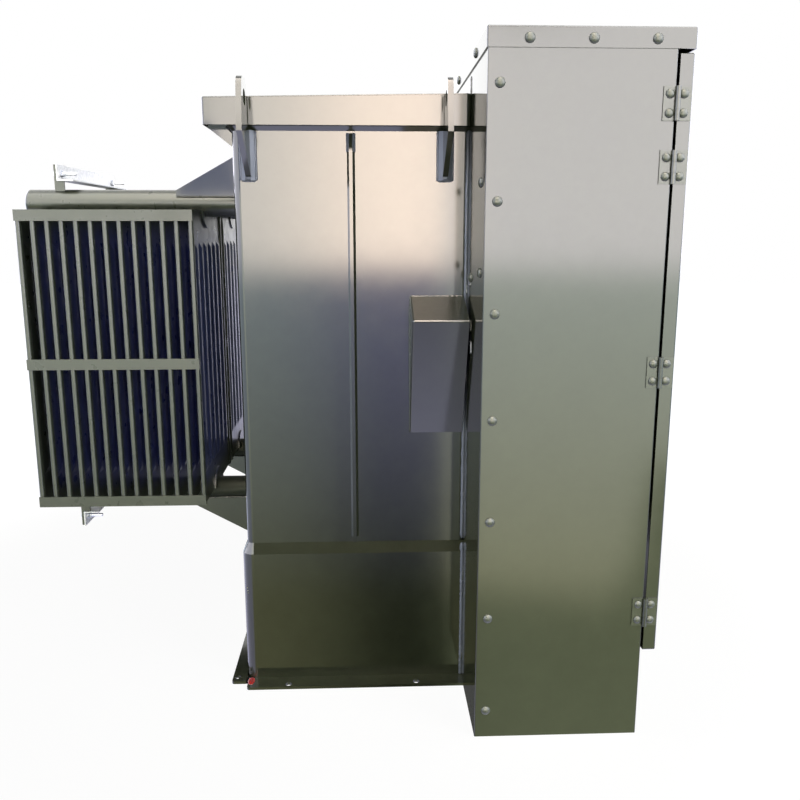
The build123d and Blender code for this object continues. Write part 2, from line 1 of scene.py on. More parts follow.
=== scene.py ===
# Dresses the pad-mounted power transformer: its enamel, bolts and welds, in a plain studio.
# Metres, in the frame of the CAD nodes: the doors face -Y, the radiators are at +Y, and the
# photograph shows the side at -X.
import json
from math import cos, pi, radians, sin

import bpy
from mathutils import Matrix, Vector


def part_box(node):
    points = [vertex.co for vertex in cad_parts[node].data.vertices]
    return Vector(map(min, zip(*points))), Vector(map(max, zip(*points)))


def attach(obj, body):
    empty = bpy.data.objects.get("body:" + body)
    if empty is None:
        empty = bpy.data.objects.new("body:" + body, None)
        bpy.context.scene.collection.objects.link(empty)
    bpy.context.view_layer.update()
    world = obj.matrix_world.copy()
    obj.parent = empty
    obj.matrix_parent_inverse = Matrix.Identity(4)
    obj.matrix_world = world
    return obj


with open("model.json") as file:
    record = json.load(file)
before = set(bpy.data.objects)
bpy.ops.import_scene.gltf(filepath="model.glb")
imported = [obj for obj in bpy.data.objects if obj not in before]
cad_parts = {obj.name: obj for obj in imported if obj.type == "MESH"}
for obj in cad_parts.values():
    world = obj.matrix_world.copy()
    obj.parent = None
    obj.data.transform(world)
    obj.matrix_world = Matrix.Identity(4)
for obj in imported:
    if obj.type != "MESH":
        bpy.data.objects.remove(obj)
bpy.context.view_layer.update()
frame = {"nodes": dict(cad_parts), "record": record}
nodes = frame["nodes"]
mesh = bpy.ops.mesh

MM = 0.001

# Places that the bolts and welds are worked out from
panel_low, panel_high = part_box("left_side_panel")
roof_low, roof_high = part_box("roof_cap")
plate_low, plate_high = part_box("front_plate")
tank_low, tank_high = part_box("tank_shell")
skirt_low, skirt_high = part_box("tank_skirt")
cover_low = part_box("tank_cover")[0]
strip_low, strip_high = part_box("rear_base_strip")
side_strip_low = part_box("left_base_strip")[0]
pads_low, pads_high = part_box("lug_pads")
lugs_low, lugs_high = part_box("left_lifting_lugs")
stiffener_low, stiffener_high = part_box("left_side_stiffener")
side_box_low, side_box_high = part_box("left_side_box")
top_header_low, top_header_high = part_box("left_top_header")
bottom_header_low, bottom_header_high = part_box("left_bottom_header")
brackets_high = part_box("tie_brackets")[1]
top_tie_low, top_tie_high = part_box("top_tie_angle")
bottom_tie_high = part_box("bottom_tie_angle")[1]
panels_low, panels_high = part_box("left_radiator_panels")
header_x = -(top_header_low.x + top_header_high.x) / 2

LEFT, RIGHT = Vector((-1, 0, 0)), Vector((1, 0, 0))
FRONT, BACK = Vector((0, -1, 0)), Vector((0, 1, 0))

# How nearly a face has to look a given way to be picked, and how finely round things are cut
facing_share = 0.9
dial_sides = 48
washer_sides = 28
head_sides = 24
shank_sides = 20
bead_sides = 8
ring_segments = 72
smooth_angle = 35
weld_smooth_angle = 60

# Carriage bolts: a low skirt, then steps that each rise and narrow by these shares
head_skirt_share = 0.2
head_step_shares = ((0.25, 0.92), (0.25, 0.83), (0.2, 0.68), (0.1, 0.45))
bolt_head_radius = 12 * MM
bolt_head_height = 6.5 * MM
side_bolt_count = 7
side_bolt_inset = 28.6 * MM
side_bolt_first = 75.8 * MM
side_bolt_pitch = 259 * MM
roof_side_bolt_count = 3
roof_side_bolt_first = 92.5 * MM
roof_side_bolt_pitch = 143.7 * MM
roof_side_bolt_drop = 26 * MM
roof_rear_bolt_count = 5
roof_rear_bolt_pitch = 370 * MM
roof_rear_bolt_drop = 22 * MM
strip_bolt_places = ((72 * MM, 1417 * MM), (65 * MM, 1205 * MM), (232 * MM, 1185 * MM))

# Hinge screws, two on each leaf
hinge_screw_radius = 10.5 * MM
hinge_screw_height = 5.5 * MM
hinge_screw_spacing = 42 * MM
leaf_thickness = 3 * MM
leaf_gap = 60 * MM
frame_leaf_screw_inset = 15 * MM
door_leaf_screw_inset = 17 * MM

# Tie bolts
tie_hex_radius = 10 * MM
tie_hex_height = 7.5 * MM
tie_washer_radius = 12 * MM
tie_washer_height = 2 * MM
tie_shank_radius = 5 * MM
tie_shank_reach = 44 * MM
tie_bolt_rise = 22 * MM
tie_angle_sheet = 4 * MM
tie_end_inset_share = 0.25
tie_end_rise_share = 0.3
washer_bevel_share = 0.15
hex_bevel_share = 0.08

# Welds
weld_ripple = 3.2 * MM
bead_lump_share = 0.35
bead_end_share = 0.5
fillet_lump_share = 0.2
lug_thickness = 14 * MM
lug_root_leg = 11 * MM
lug_root_out = 6.5 * MM
lug_foot_weld = 11 * MM
pad_weld_width = 7 * MM
stiffener_weld_leg = 6 * MM
stiffener_cut_height = 47 * MM
stiffener_cut_leg = 8 * MM
corner_weld_width = 12 * MM
corner_weld_inset = 3 * MM
corner_weld_rise = 5 * MM
seam_weld_width = 5 * MM
gusset_weld_width = 4 * MM
gusset_length = 220 * MM
gusset_rise = 21 * MM
gusset_height_at_wall = 114 * MM
stitch_weld_width = 6 * MM
corner_stitches = ((1135 * MM, 1163 * MM), (306 * MM, 334 * MM), (52 * MM, 76 * MM))
plate_stitches = (((709 * MM, 1076 * MM), (713 * MM, 1045 * MM)),
                  ((717 * MM, 1021 * MM), (722 * MM, 987 * MM)),
                  ((682 * MM, 1178 * MM), (682 * MM, 1160 * MM)))
cover_corner_stitch = (636 * MM, 1645 * MM, 1693 * MM)

# Nuts on the bushing flanges
flange_nut_radius = 6.5 * MM
flange_nut_height = 6 * MM
flange_nut_count = 4
flange_nut_inset = 9 * MM
hv_flange_radius = 52 * MM
hv_flange_thickness = 12 * MM
hv_pitch = 210 * MM
hv_column_count = 3
lv_flange_radius = 48 * MM
lv_flange_thickness = 14 * MM
lv_stem_length = 60 * MM
lv_pitch = 190 * MM
lv_column_count = 4

# Gauge dials, with a plain scale over three quarters of a turn
dial_rim_width = 5 * MM
dial_rim_height = 3 * MM
dial_face_share = 0.3
dial_bevel_share = 0.3
mark_bevel_share = 0.2
pointer_tip_share = 0.3
scale_height = 0.8 * MM
scale_mark_count = 9
scale_mark_length = 7 * MM
scale_mark_width = 1.6 * MM
scale_mark_start = 31 * MM
scale_sweep = 1.5 * pi
pointer_length = 29 * MM
pointer_width = 5 * MM
pointer_turn = radians(-35)

# Screws in the handle's plate
handle_plate_width = 60 * MM
handle_plate_height = 150 * MM
handle_plate_thickness = 4 * MM
handle_screw_radius = 4.5 * MM
handle_screw_height = 2.4 * MM
handle_screw_inset = 10 * MM

# Marking paint and paint chips
dab_centre = Vector((-640 * MM, 221 * MM, 8 * MM))
dab_half_size = (20 * MM, 10 * MM, 2.5 * MM)
chip_places = ((613.8 * MM, 225.1 * MM, 282 * MM), (614.6 * MM, 224.2 * MM, 275 * MM),
               (613 * MM, 226 * MM, 290 * MM))
chip_facing = Vector((-0.76, 0.65, 0))
dab_rings = 12
chip_radius = 2.4 * MM
chip_height = 0.6 * MM

# Enamel: how many waves its patterns have in a metre, for the drift of its colour over a
# hand's width, dust on what faces up, smears in its gloss, its pebble and the sheets' bend
drift_scale = 9
dust_scale = 60
smear_scale = 22
pebble_scale = 250
wave_scale = 2.2
dust_slope = 0.6
dust_share = 0.08
pebble_strength = 0.05
pebble_depth = 0.15 * MM
enamel_shine = 1.5

# How far in from a panel's rim the painted navy shade in the gaps starts, and where it is full
gap_shade_start = 18 * MM
gap_shade_full = 50 * MM
gap_shade_ends = 90 * MM

# Camera, at the photograph's place and angle
camera_sensor = 36
camera_lens = 36.94
camera_place = (-2.8542, -0.1254, 1.3053)
camera_ahead = (0.9785, -0.0402, -0.2020)

# Studio: one large softbox, and a floor that fades into the white of the background
key_place = (-3.2, -3.6, 2.6)
key_aim = (0, 0, 0.9)
key_size = 2.5
key_power = 90
floor_radius = 20
floor_sides = 96
floor_fade_start = 1.2
floor_fade_end = 3.2

# Plain backdrops that the enamel mirrors. The first is there all round, the ground has an edge
# of its own, and the others fade in from one place to another along an axis. Each has one tone
# at its foot, one up to the horizon and one above it, as red, green and blue. The tones began
# as ones fitted to the photograph's shading, and were then made simple.
mirror_strength = 28
even_light = 0.24
floor_own_light = 0.8
floor_brightness = 1.18
# A dark sheet under the base strips' holes, which is painted shade for the floor seen through
# them
sheet_rise = 0.3 * MM
sheet_margin = 30 * MM
hole_shade_tone = (0.01, 0.01, 0.01)
top_card_centre = (-1.76, 0.61, 1.585)
top_card_size = (0.3, 0.25)
top_card_colour = (2.4, 2.6, 3.9)
band_card_centre = (-8, 0, 4.4)
band_card_size = (5, 1.7)
band_card_colour = (0.2, 0.2, 0.12)
gap_card_centre = (5, 1.55, 0.3)
gap_card_size = (1.3, 4)
gap_card_colour = (0.02, 0.02, 0.02)
ground_edge = -0.415
ground_climb = 0.15
ground_climb_start = -0.2
ground_climb_end = -0.33
ground_climb_power = 6
ground_blur = 0.02
ground_tone = (1.5, 1.7, 1)
floor_tone = (2.5, 2.5, 3.5)
backdrop_heights = (-0.9, -0.6, -0.42, -0.06, -0.03)
backdrops = (
    ("beside the cabinet", None, None, None, (4, 4, 2.5), (6, 6.5, 6), (12.5, 12, 12)),
    ("ground", None, None, None, ground_tone, ground_tone, ground_tone),
    ("beside the tank's front", -0.112, -0.085, "Y", (0, 0, 0), (2, 2, 3.5), (24, 20, 17)),
    ("beside the tank's rear", -0.05, 0.15, "Y", (1, 1, 0.5), (3, 3.5, 4), (14, 13, 12)),
    ("beside the radiators", 0.165, 0.2, "Y", (1, 1, 0.5), (5, 5.5, 5), (8, 8, 7.5)),
    ("beyond", -0.05, 0.12, "X", (0.1, 0.1, 0.1), (2, 2, 2.5), (2, 2, 2)),
    ("far to the front", -0.42, -0.55, "Y", (1.5, 1.5, 2), (2.5, 3, 3.5), (7, 7, 8)),
    ("far to the rear", 0.42, 0.55, "Y", (1.5, 1.5, 2), (2.5, 3, 3.5), (7, 7, 8)),
)


def only(*pieces):
    """Select these pieces and nothing else, with the first one active."""
    if bpy.context.object and bpy.context.object.mode != "OBJECT":
        bpy.ops.object.mode_set(mode="OBJECT")
    bpy.ops.object.select_all(action="DESELECT")
    for piece in pieces:
        piece.select_set(True)
    bpy.context.view_layer.objects.active = pieces[0]


def basic(shape, **settings):
    """Add one of Blender's basic shapes, with nothing else selected."""
    bpy.ops.object.select_all(action="DESELECT")
    shape(**settings)
    return bpy.context.object


def pick_faces(piece, wanted):
    """Go to edit mode with the faces selected that wanted says yes to."""
    pick(piece, piece.data.polygons, "FACE", wanted)


def pick_top(piece):
    pick_faces(piece, lambda face: face.normal.z > facing_share)


def pick_edges(piece, wanted):
    """Go to edit mode with the edges selected that wanted says yes to for their two ends."""
    points = piece.data.vertices
    pick(piece, piece.data.edges, "EDGE",
         lambda edge: wanted(*[points[i].co for i in edge.vertices]))


def pick(piece, parts, mode, wanted):
    only(piece)
    bpy.ops.object.mode_set(mode="EDIT")
    mesh.select_mode(type=mode)
    mesh.select_all(action="DESELECT")
    bpy.ops.object.mode_set(mode="OBJECT")
    for part in parts:
        part.select = wanted(part)
    bpy.ops.object.mode_set(mode="EDIT")


def settle(piece):
    """Put the piece's place and turn into its mesh."""
    only(piece)
    bpy.ops.object.transform_apply(location=True, rotation=True, scale=True)
    return piece


def join(name, pieces):
    """Make one named piece of several."""
    only(*pieces)
    if len(pieces) > 1:
        bpy.ops.object.join()
    piece = bpy.context.object
    piece.name = piece.data.name = name
    return settle(piece)


def finish_piece(piece, material, body, angle=smooth_angle):
    """Smooth, paint and hang a finished piece on its body."""
    only(piece)
    bpy.ops.object.shade_smooth_by_angle(angle=radians(angle))
    piece.data.materials.clear()
    piece.data.materials.append(material)
    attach(piece, body)
    return piece


def stand(spot, facing):
    """The place of a shape that stands on a spot, with its +Z turned to face a way."""
    return Matrix.Translation(spot) @ facing.to_track_quat("Z", "Y").to_matrix().to_4x4()


def duplicate(piece):
    """A copy of a piece with a mesh of its own."""
    copy = piece.copy()
    copy.data = piece.data.copy()
    bpy.context.scene.collection.objects.link(copy)
    return copy


def place_copies(name, master, places):
    """One piece of copies of master, whose axis is turned from +Z to face each way."""
    copies = []
    for spot, facing in places:
        copy = duplicate(master)
        copy.matrix_world = stand(spot, facing)
        copies.append(copy)
    return join(name, copies)


def drop_master(master):
    bpy.data.objects.remove(master)


def mirrored(places):
    """The same places on the right-hand side."""
    return [(Vector((-spot.x, spot.y, spot.z)), Vector((-facing.x, facing.y, facing.z)))
            for spot, facing in places]


# Materials

def linear(hex_code):
    """An sRGB hex colour as linear red, green, blue and alpha."""
    parts = [int(hex_code[i:i + 2], 16) / 255 for i in (1, 3, 5)]
    return [c / 12.92 if c <= 0.04045 else ((c + 0.055) / 1.055) ** 2.4 for c in parts] + [1]


def add(tree, kind, sockets=None, **settings):
    """Add a node with its settings, and set or link its sockets by name or number.

    A colour ramp's stops are given as (place, colour) pairs.
    """
    made = tree.nodes.new(kind)
    stops = settings.pop("stops", None)
    for name, value in settings.items():
        setattr(made, name, value)
    if stops:
        ramp = made.color_ramp.elements
        while len(ramp) < len(stops):
            ramp.new(1)
        for element, (place, colour) in zip(ramp, stops):
            element.position = place
            element.color = colour
    for name, value in (sockets or {}).items():
        if isinstance(value, bpy.types.NodeSocket):
            tree.links.new(value, made.inputs[name])
        else:
            made.inputs[name].default_value = value
    return made


def empty_tree(owner):
    """The node tree of a material or world, with nothing in it."""
    owner.use_nodes = True
    owner.node_tree.nodes.clear()
    return owner.node_tree


def new_material(name):
    """An empty material with its shader and output, and the object's own coordinates."""
    material = bpy.data.materials.new(name)
    tree = empty_tree(material)
    shader = add(tree, "ShaderNodeBsdfPrincipled")
    add(tree, "ShaderNodeOutputMaterial", {"Surface": shader.outputs[0]})
    place = add(tree, "ShaderNodeTexCoord").outputs["Object"]
    return material, tree, shader, place


def cloud(tree, place, scale, detail, tones, ends=(0.3, 0.7), rough=0.5):
    """A cloudy pattern, and its colour, which drifts between two tones."""
    noise = add(tree, "ShaderNodeTexNoise", {"Vector": place, "Scale": scale,
                                             "Detail": detail, "Roughness": rough})
    tone = add(tree, "ShaderNodeValToRGB", {"Fac": noise.outputs["Fac"]},
               stops=[(end, linear(code)) for end, code in zip(ends, tones)])
    return noise.outputs["Fac"], tone.outputs["Color"]


def cloudy_finish(name, scale, detail, tones, roughness, ends=(0.3, 0.7), metallic=0):
    """A new material of that colour, with its tree and place for what else it has."""
    material, tree, shader, place = new_material(name)
    tree.links.new(cloud(tree, place, scale, detail, tones, ends)[1],
                   shader.inputs["Base Color"])
    shader.inputs["Roughness"].default_value = roughness
    shader.inputs["Metallic"].default_value = metallic
    return material, tree, shader, place


def enamel(name, tones, gloss, wave_height, shine=enamel_shine):
    """Semi-gloss enamel sprayed on folded steel: even and clean, with a wet-looking skin.

    The skin mirrors light and dark softly, bends a little over the flat sheets, and has the
    fine pebble of sprayed paint. Its colour drifts a few percent over a hand's width.
    """
    material, tree, shader, place = new_material(name)
    tone = cloud(tree, place, drift_scale, 4, tones, rough=0.6)[1]
    dust = add(tree, "ShaderNodeTexNoise", {"Vector": place, "Scale": dust_scale,
                                            "Detail": 5})
    normal = add(tree, "ShaderNodeNewGeometry").outputs["Normal"]
    upward = add(tree, "ShaderNodeSeparateXYZ", {0: normal}).outputs["Z"]
    lying = add(tree, "ShaderNodeMapRange", {"Value": upward, "From Min": dust_slope,
                                             "From Max": 1, "To Max": dust_share})
    dusty = add(tree, "ShaderNodeMath", {0: lying.outputs[0], 1: dust.outputs["Fac"]},
                operation="MULTIPLY")
    colour = add(tree, "ShaderNodeMix", {"Factor": dusty.outputs[0], 6: tone,
                                         7: linear("#9A9688")}, data_type="RGBA")
    tree.links.new(colour.outputs[2], shader.inputs["Base Color"])
    smear = add(tree, "ShaderNodeTexNoise", {"Vector": place, "Scale": smear_scale,
                                             "Detail": 3})
    rough = add(tree, "ShaderNodeMapRange", {"Value": smear.outputs["Fac"], "From Min": 0.3,
                                             "From Max": 0.7, "To Min": gloss[0],
                                             "To Max": gloss[1]})
    tree.links.new(rough.outputs[0], shader.inputs["Roughness"])
    # Paint pebble is about 1.5 mm across. It is drawn at 4 mm, so that the render shows it.
    pebble = add(tree, "ShaderNodeTexNoise", {"Vector": place, "Scale": pebble_scale,
                                              "Detail": 2})
    fine = add(tree, "ShaderNodeBump", {"Height": pebble.outputs["Fac"],
                                        "Strength": pebble_strength,
                                        "Distance": pebble_depth})
    wave = add(tree, "ShaderNodeTexNoise", {"Vector": place, "Scale": wave_scale,
                                            "Detail": 1})
    bent = add(tree, "ShaderNodeBump", {"Height": wave.outputs["Fac"], "Strength": 1,
                                        "Distance": wave_height,
                                        "Normal": fine.outputs["Normal"]})
    tree.links.new(bent.outputs["Normal"], shader.inputs["Normal"])
    shader.inputs["IOR"].default_value = shine
    return material


def inwards(tree, value, low, high, start, full):
    """0 at the ends of a stretch and 1 well inside it, from full inwards."""
    offset = add(tree, "ShaderNodeMath", {0: value, 1: (low + high) / 2},
                 operation="SUBTRACT")
    distance = add(tree, "ShaderNodeMath", {0: offset.outputs[0]}, operation="ABSOLUTE")
    half = (high - low) / 2
    return add(tree, "ShaderNodeMapRange", {"Value": distance.outputs[0],
                                            "From Min": half - start,
                                            "From Max": half - full},
               interpolation_type="SMOOTHSTEP").outputs[0]


def shade_gaps(material):
    """Paint navy shade into the enamel in the deep gaps between the panels, where blue light
    collects.

    The stack's rear face and the panels' rims keep their olive.
    """
    tree = material.node_tree
    shader = next(part for part in tree.nodes if part.bl_idname == "ShaderNodeBsdfPrincipled")
    place = add(tree, "ShaderNodeTexCoord").outputs["Object"]
    x, y, z = add(tree, "ShaderNodeSeparateXYZ", {0: place}).outputs
    across = add(tree, "ShaderNodeMath", {0: x}, operation="ABSOLUTE").outputs[0]
    deep = inwards(tree, across, -panels_high.x, -panels_low.x, gap_shade_start,
                   gap_shade_full)
    between = inwards(tree, z, panels_low.z, panels_high.z, gap_shade_start, gap_shade_ends)
    rear = add(tree, "ShaderNodeMapRange", {"Value": y,
                                            "From Min": panels_high.y - gap_shade_full,
                                            "From Max": panels_high.y - gap_shade_start,
                                            "To Min": 1, "To Max": 0}).outputs[0]
    share = add(tree, "ShaderNodeMath", {0: deep, 1: between}, operation="MULTIPLY")
    share = add(tree, "ShaderNodeMath", {0: share.outputs[0], 1: rear}, operation="MULTIPLY")
    painted = shader.inputs["Base Color"].links[0].from_socket
    # Mix in the painted navy shade where the gaps are deep
    colour = add(tree, "ShaderNodeMix", {"Factor": share.outputs[0], 6: painted,
                                         7: linear("#5A6299")}, data_type="RGBA")
    tree.links.new(colour.outputs[2], shader.inputs["Base Color"])
    return material


def galvanised_steel():
    """Hot-dip galvanised angle: pale grey zinc with a faint frosting of crystals."""
    material, tree, shader, place = new_material("galvanised_steel")
    # Zinc crystals are about 8 mm across
    crystal = add(tree, "ShaderNodeTexVoronoi", {"Vector": place, "Scale": 125})
    tone = add(tree, "ShaderNodeValToRGB", {"Fac": crystal.outputs["Color"]},
               stops=[(0.0, linear("#C6C8C7")), (1.0, linear("#E6E7E5"))])
    tree.links.new(tone.outputs["Color"], shader.inputs["Base Color"])
    rough = add(tree, "ShaderNodeMapRange", {"Value": crystal.outputs["Color"],
                                             "To Min": 0.35, "To Max": 0.55})
    tree.links.new(rough.outputs[0], shader.inputs["Roughness"])
    shader.inputs["Metallic"].default_value = 0.3
    return material


def zinc_plate():
    """Bright zinc plating on a bolt: blue-white metal, a little dulled by handling."""
    material, tree, shader, place = new_material("zinc_plate")
    rub, tone = cloud(tree, place, 180, 4, ("#8F9296", "#C9CCD0"), (0.35, 0.65))
    tree.links.new(tone, shader.inputs["Base Color"])
    rough = add(tree, "ShaderNodeMapRange", {"Value": rub, "To Min": 0.2, "To Max": 0.45})
    tree.links.new(rough.outputs[0], shader.inputs["Roughness"])
    shader.inputs["Metallic"].default_value = 1
    return material


def epoxy_resin():
    """Moulded cable bushing: dark red-brown epoxy with a dull, even skin."""
    return cloudy_finish("epoxy_resin", 40, 3, ("#3E211A", "#562F25"), 0.38)[0]


def tinned_terminal():
    """Low-voltage terminal: a tin-plated copper spade on a brown resin body."""
    material, tree, shader, place = new_material("tinned_terminal")
    # The metal starts in front of the resin's flange and stem
    spade_start = plate_low.y - lv_flange_thickness - lv_stem_length
    depth = add(tree, "ShaderNodeSeparateXYZ", {0: place}).outputs["Y"]
    is_metal = add(tree, "ShaderNodeMath", {0: depth, 1: spade_start}, operation="LESS_THAN")
    rub, tin = cloud(tree, place, 90, 4, ("#9C9A94", "#C6C4BC"))
    colour = add(tree, "ShaderNodeMix", {"Factor": is_metal.outputs[0],
                                         6: linear("#4A2A20"), 7: tin},
                 data_type="RGBA")
    tree.links.new(colour.outputs[2], shader.inputs["Base Color"])
    tree.links.new(is_metal.outputs[0], shader.inputs["Metallic"])
    rough = add(tree, "ShaderNodeMapRange", {"Value": rub, "To Min": 0.25, "To Max": 0.5})
    tree.links.new(rough.outputs[0], shader.inputs["Roughness"])
    return material


def cast_brass():
    """Valve and gauge cases: cast brass, yellow and slightly dull, with a sand-cast grain."""
    material, tree, shader, place = cloudy_finish("cast_brass", 70, 5, ("#8A6C38", "#B8965A"),
                                                  0.4, metallic=1)
    grain = add(tree, "ShaderNodeTexNoise", {"Vector": place, "Scale": 900, "Detail": 1})
    bump = add(tree, "ShaderNodeBump", {"Height": grain.outputs["Fac"], "Strength": 0.3,
                                        "Distance": 0.2 * MM})
    tree.links.new(bump.outputs["Normal"], shader.inputs["Normal"])
    return material


def marking_paint():
    """A dab of red marking paint: thick at the middle, thin and uneven at its rim."""
    return cloudy_finish("marking_paint", 300, 2, ("#A3150F", "#D8231A"), 0.3)[0]


def primer():
    """Bare primer where the enamel has chipped off: pale, matt and grainy."""
    return cloudy_finish("pale_primer", 400, 2, ("#B9BD9C", "#E4E6CC"), 0.8)[0]


def dial_enamel():
    """A gauge's dial: stove-enamelled white, slightly yellowed, with a soft sheen."""
    return cloudy_finish("dial_enamel", 30, 3, ("#DEDCD0", "#ECEBE3"), 0.35)[0]


def scale_print():
    """Scale marks and pointers: black lacquer on thin steel, a little worn to grey."""
    return cloudy_finish("scale_lacquer", 250, 3, ("#141414", "#3A3A38"), 0.45,
                         ends=(0.4, 0.8))[0]


body_enamel = enamel("olive_enamel", ("#3F4434", "#474C3B"), (0.09, 0.11), 0.1 * MM)
radiator_enamel = enamel("radiator_enamel", ("#3C4134", "#454A3B"), (0.26, 0.36), 0.05 * MM)
# The panels' enamel has painted navy shade deep in the gaps between them
panel_enamel = shade_gaps(enamel("panel_enamel", ("#3C4134", "#454A3B"), (0.26, 0.36),
                                 0.05 * MM))
hinge_enamel = enamel("hinge_enamel", ("#454A3B", "#4D5243"), (0.2, 0.3), 0.05 * MM)
# Bolt heads, whose thick paint softens what they mirror
bolt_enamel = enamel("bolt_enamel", ("#484D3E", "#505545"), (0.32, 0.42), 0.02 * MM)
# Enamel over welds and their pads, dull from spatter and scale under it. Its pale bluish grey
# is a painted slate reflection, not the enamel's own colour.
painted_reflection_enamel = enamel("painted_reflection_enamel", ("#747A86", "#818793"), (0.4, 0.5), 0.02 * MM)
# Darker, less shiny enamel on the bottom headers, low between the radiators and the tank:
# painted shade, standing in for the shade of the panels above them
shaded_enamel = enamel("shaded_enamel", ("#33372D", "#3A3F33"), (0.4, 0.5), 0.05 * MM, 1.2)
zinc = zinc_plate()
brass = cast_brass()

slot_materials = {
    "enamel": body_enamel,
    "radiator_enamel": radiator_enamel,
    "hinge_steel": hinge_enamel,
    "galvanised_steel": galvanised_steel(),
    "bushing_resin": epoxy_resin(),
    "terminal_brass": brass,
}
node_slots = {part["node"]: part["material_slot"] for part in frame["record"]["subparts"]}


def paint_cad_nodes():
    """Give each CAD node the finish of its own material slot, or a closer one."""
    own = {"lv_bushings": tinned_terminal(), "header_gussets": body_enamel,
           "lug_pads": painted_reflection_enamel,
           "left_bottom_header": shaded_enamel, "right_bottom_header": shaded_enamel,
           "left_radiator_panels": panel_enamel, "right_radiator_panels": panel_enamel}
    for name, node in nodes.items():
        material = own.get(name, slot_materials[node_slots[name]])
        node.data.materials.clear()
        node.data.materials.append(material)


# Bolts

def domed_head(radius, height):
    """A carriage bolt's head: a low skirt and a round top, in steps that narrow upwards."""
    skirt = head_skirt_share * height
    head = settle(basic(mesh.primitive_cylinder_add, vertices=head_sides,
                        radius=radius, depth=skirt, location=(0, 0, skirt / 2)))
    pick_top(head)
    for rise_share, width_share in head_step_shares:
        mesh.extrude_region_move(
            TRANSFORM_OT_translate={"value": (0, 0, rise_share * height)})
        bpy.ops.transform.resize(value=(width_share, width_share, 1))
    only(head)
    return head


def cabinet_bolts():
    """Carriage bolts up both side panels, round the roof cap and on the plate's rear."""
    head = domed_head(bolt_head_radius, bolt_head_height)
    side = [(Vector((panel_low.x, panel_high.y - side_bolt_inset,
                     side_bolt_first + place * side_bolt_pitch)), LEFT)
            for place in range(side_bolt_count)]
    roof_side = [(Vector((roof_low.x, panel_high.y - roof_side_bolt_first
                          - place * roof_side_bolt_pitch,
                          roof_high.z - roof_side_bolt_drop)), LEFT)
                 for place in range(roof_side_bolt_count)]
    middle = (roof_rear_bolt_count - 1) / 2
    roof_rear = [(Vector(((place - middle) * roof_rear_bolt_pitch, roof_high.y,
                          roof_high.z - roof_rear_bolt_drop)), BACK)
                 for place in range(roof_rear_bolt_count)]
    strip = [(Vector((panel_low.x + inset, plate_high.y, height)), BACK)
             for inset, height in strip_bolt_places]
    groups = {
        "side_panel_bolts": side + mirrored(side),
        "roof_cap_bolts": roof_side + mirrored(roof_side) + roof_rear,
        "rear_plate_bolts": strip + mirrored(strip),
    }
    for name, places in groups.items():
        finish_piece(place_copies(name, head, places), bolt_enamel, "housing")
    drop_master(head)


def leaf_centres(node):
    """The middle heights of a node's four hinge leaves, found from its own corners."""
    heights = sorted(set(round(v.co.z, 4) for v in nodes[node].data.vertices))
    low, centres = heights[0], []
    for lower, upper in zip(heights, heights[1:] + [heights[-1] + 1]):
        if upper - lower > leaf_gap:
            centres.append((low + lower) / 2)
            low = upper
    return centres


def hinge_screws():
    """Two domed screws on each leaf, which move with the leaf's own body."""
    head = domed_head(hinge_screw_radius, hinge_screw_height)
    for side, body, facing in (("left", "left_door", LEFT), ("right", "right_door", RIGHT)):
        for kind, rider in (("frame", "housing"), ("door", body)):
            low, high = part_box(f"{side}_hinge_{kind}_leaves")
            centres = leaf_centres(f"{side}_hinge_{kind}_leaves")
            y = (high.y - frame_leaf_screw_inset if kind == "frame"
                 else low.y + door_leaf_screw_inset)
            x = facing.x * (leaf_thickness - panel_low.x)
            places = [(Vector((x, y, z + way * hinge_screw_spacing / 2)), facing)
                      for z in centres for way in (-1, 1)]
            piece = place_copies(f"{side}_hinge_{kind}_screws", head, places)
            finish_piece(piece, bolt_enamel, rider)
    drop_master(head)


def hex_block(radius, height, floor):
    """A hexagon head or nut, standing at floor, with its upper corners cut back."""
    block = settle(basic(mesh.primitive_cylinder_add, vertices=6, radius=radius,
                         depth=height, location=(0, 0, floor + height / 2)))
    pick_top(block)
    mesh.bevel(offset=hex_bevel_share * radius, segments=2, affect="EDGES")
    only(block)
    return block


def tie_bolt(grip):
    """A hexagon bolt through a bracket and angle: head, washer, shank, nut and end."""
    parts = [hex_block(tie_hex_radius, tie_hex_height, 0)]
    shank_length = grip + tie_shank_reach
    shank = settle(basic(mesh.primitive_cylinder_add, vertices=shank_sides,
                         radius=tie_shank_radius, depth=shank_length,
                         location=(0, 0, -shank_length / 2)))
    pick_faces(shank, lambda face: face.normal.z < -facing_share)
    mesh.inset(thickness=tie_end_inset_share * tie_shank_radius)
    bpy.ops.transform.translate(value=(0, 0, -tie_end_rise_share * tie_shank_radius))
    only(shank)
    parts.append(shank)
    washer_face = -grip - tie_washer_height
    washer = settle(basic(mesh.primitive_cylinder_add, vertices=washer_sides,
                          radius=tie_washer_radius, depth=tie_washer_height,
                          location=(0, 0, washer_face + tie_washer_height / 2)))
    pick_edges(washer, lambda a, b: abs(a.z - b.z) < tie_washer_height / 2)
    mesh.bevel(offset=washer_bevel_share * tie_washer_height, segments=1,
                       affect="EDGES")
    only(washer)
    parts.append(washer)
    parts.append(hex_block(tie_hex_radius, tie_hex_height, washer_face - tie_hex_height))
    return join("tie_bolt_master", parts)


def tie_bolts():
    """One bolt in each bracket, with its head on the outer side and its nut by the tank."""
    bracket_rear = brackets_high.y
    master = tie_bolt(bracket_rear - top_tie_high.y + tie_angle_sheet)
    spots = [(Vector((header_x, bracket_rear, z)), BACK)
             for z in (top_tie_low.z + tie_bolt_rise, bottom_tie_high.z - tie_bolt_rise)]
    bolts = place_copies("tie_bolts", master, spots + mirrored(spots))
    finish_piece(bolts, zinc, "housing")
    drop_master(master)


# Fittings inside the cabinet and on the right door

